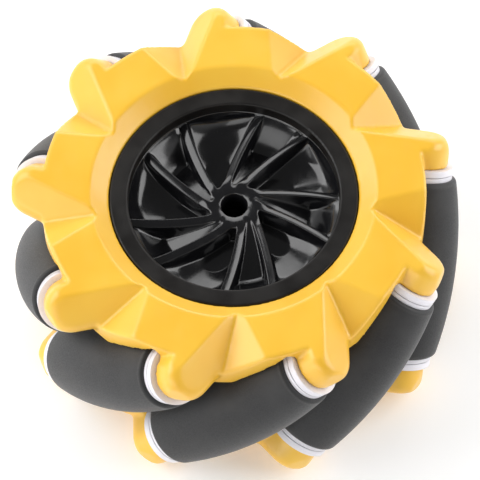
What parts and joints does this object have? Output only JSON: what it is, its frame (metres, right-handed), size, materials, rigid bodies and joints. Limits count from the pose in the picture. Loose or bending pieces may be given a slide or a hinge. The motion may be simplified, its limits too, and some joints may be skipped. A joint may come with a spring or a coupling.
{
  "type": "mecanum wheel",
  "caption": "Omnidirectional drive wheel: barrel-shaped rubber rollers set at 45 degrees between two faceted half shells around a black spoked hub with a hex socket.",
  "frame": {"origin": "centre of the wheel, on its axle line and midway between its two faces", "axes": "+Z along the axle towards the outer face, so the wheel lies flat on its back face; +X and +Y are radial, and +Y is the far side in the main view"},
  "size_m": [0.097, 0.097, 0.046],
  "materials": {
    "tread": "matte charcoal rubber",
    "core": "white moulded plastic",
    "washer": "white slippery plastic",
    "steel": "ground steel pin",
    "screw": "blackened steel",
    "shell": "semi-gloss yellow moulded plastic",
    "bezel": "satin black",
    "spoke_disc": "high gloss black",
    "back_hub": "satin black"
  },
  "bodies": {
    "wheel": {"roller_axle_1": "steel", "roller_axle_2": "steel", "roller_axle_3": "steel", "roller_axle_4": "steel", "roller_axle_5": "steel", "roller_axle_6": "steel", "roller_axle_7": "steel", "roller_axle_8": "steel", "roller_axle_9": "steel", "thrust_washers_front": "washer", "thrust_washers_back": "washer", "front_shell": "shell", "back_shell": "shell", "front_bezel": "bezel", "front_spoke_disc": "spoke_disc", "back_hub": "back_hub", "hub_screws": "screw"},
    "roller_1": {"roller_tread_1": "tread", "roller_core_1": "core"},
    "roller_2": {"roller_tread_2": "tread", "roller_core_2": "core"},
    "roller_3": {"roller_tread_3": "tread", "roller_core_3": "core"},
    "roller_4": {"roller_tread_4": "tread", "roller_core_4": "core"},
    "roller_5": {"roller_tread_5": "tread", "roller_core_5": "core"},
    "roller_6": {"roller_tread_6": "tread", "roller_core_6": "core"},
    "roller_7": {"roller_tread_7": "tread", "roller_core_7": "core"},
    "roller_8": {"roller_tread_8": "tread", "roller_core_8": "core"},
    "roller_9": {"roller_tread_9": "tread", "roller_core_9": "core"}
  },
  "joints": [
    {"name": "roller_1_spin", "type": "hinge", "parent": "wheel", "child": "roller_1", "pos_m": [0.01346, 0.03619, 0], "axis": [-0.6628, 0.2465, 0.7071], "continuous": true},
    {"name": "roller_2_spin", "type": "hinge", "parent": "wheel", "child": "roller_2", "pos_m": [0.03358, 0.01908, 0], "axis": [-0.3493, 0.6148, 0.7071], "continuous": true},
    {"name": "roller_3_spin", "type": "hinge", "parent": "wheel", "child": "roller_3", "pos_m": [0.03798, -0.00697, 0], "axis": [0.1276, 0.6955, 0.7071], "continuous": true},
    {"name": "roller_4_spin", "type": "hinge", "parent": "wheel", "child": "roller_4", "pos_m": [0.02462, -0.02976, 0], "axis": [0.5448, 0.4507, 0.7071], "continuous": true},
    {"name": "roller_5_spin", "type": "hinge", "parent": "wheel", "child": "roller_5", "pos_m": [-0.00027, -0.03862, 0], "axis": [0.7071, -0.0049, 0.7071], "continuous": true},
    {"name": "roller_6_spin", "type": "hinge", "parent": "wheel", "child": "roller_6", "pos_m": [-0.02503, -0.02941, 0], "axis": [0.5385, -0.4583, 0.7071], "continuous": true},
    {"name": "roller_7_spin", "type": "hinge", "parent": "wheel", "child": "roller_7", "pos_m": [-0.03808, -0.00644, 0], "axis": [0.1179, -0.6972, 0.7071], "continuous": true},
    {"name": "roller_8_spin", "type": "hinge", "parent": "wheel", "child": "roller_8", "pos_m": [-0.03331, 0.01954, 0], "axis": [-0.3578, -0.6099, 0.7071], "continuous": true},
    {"name": "roller_9_spin", "type": "hinge", "parent": "wheel", "child": "roller_9", "pos_m": [-0.01295, 0.03638, 0], "axis": [-0.6661, -0.2372, 0.7071], "continuous": true}
  ]
}
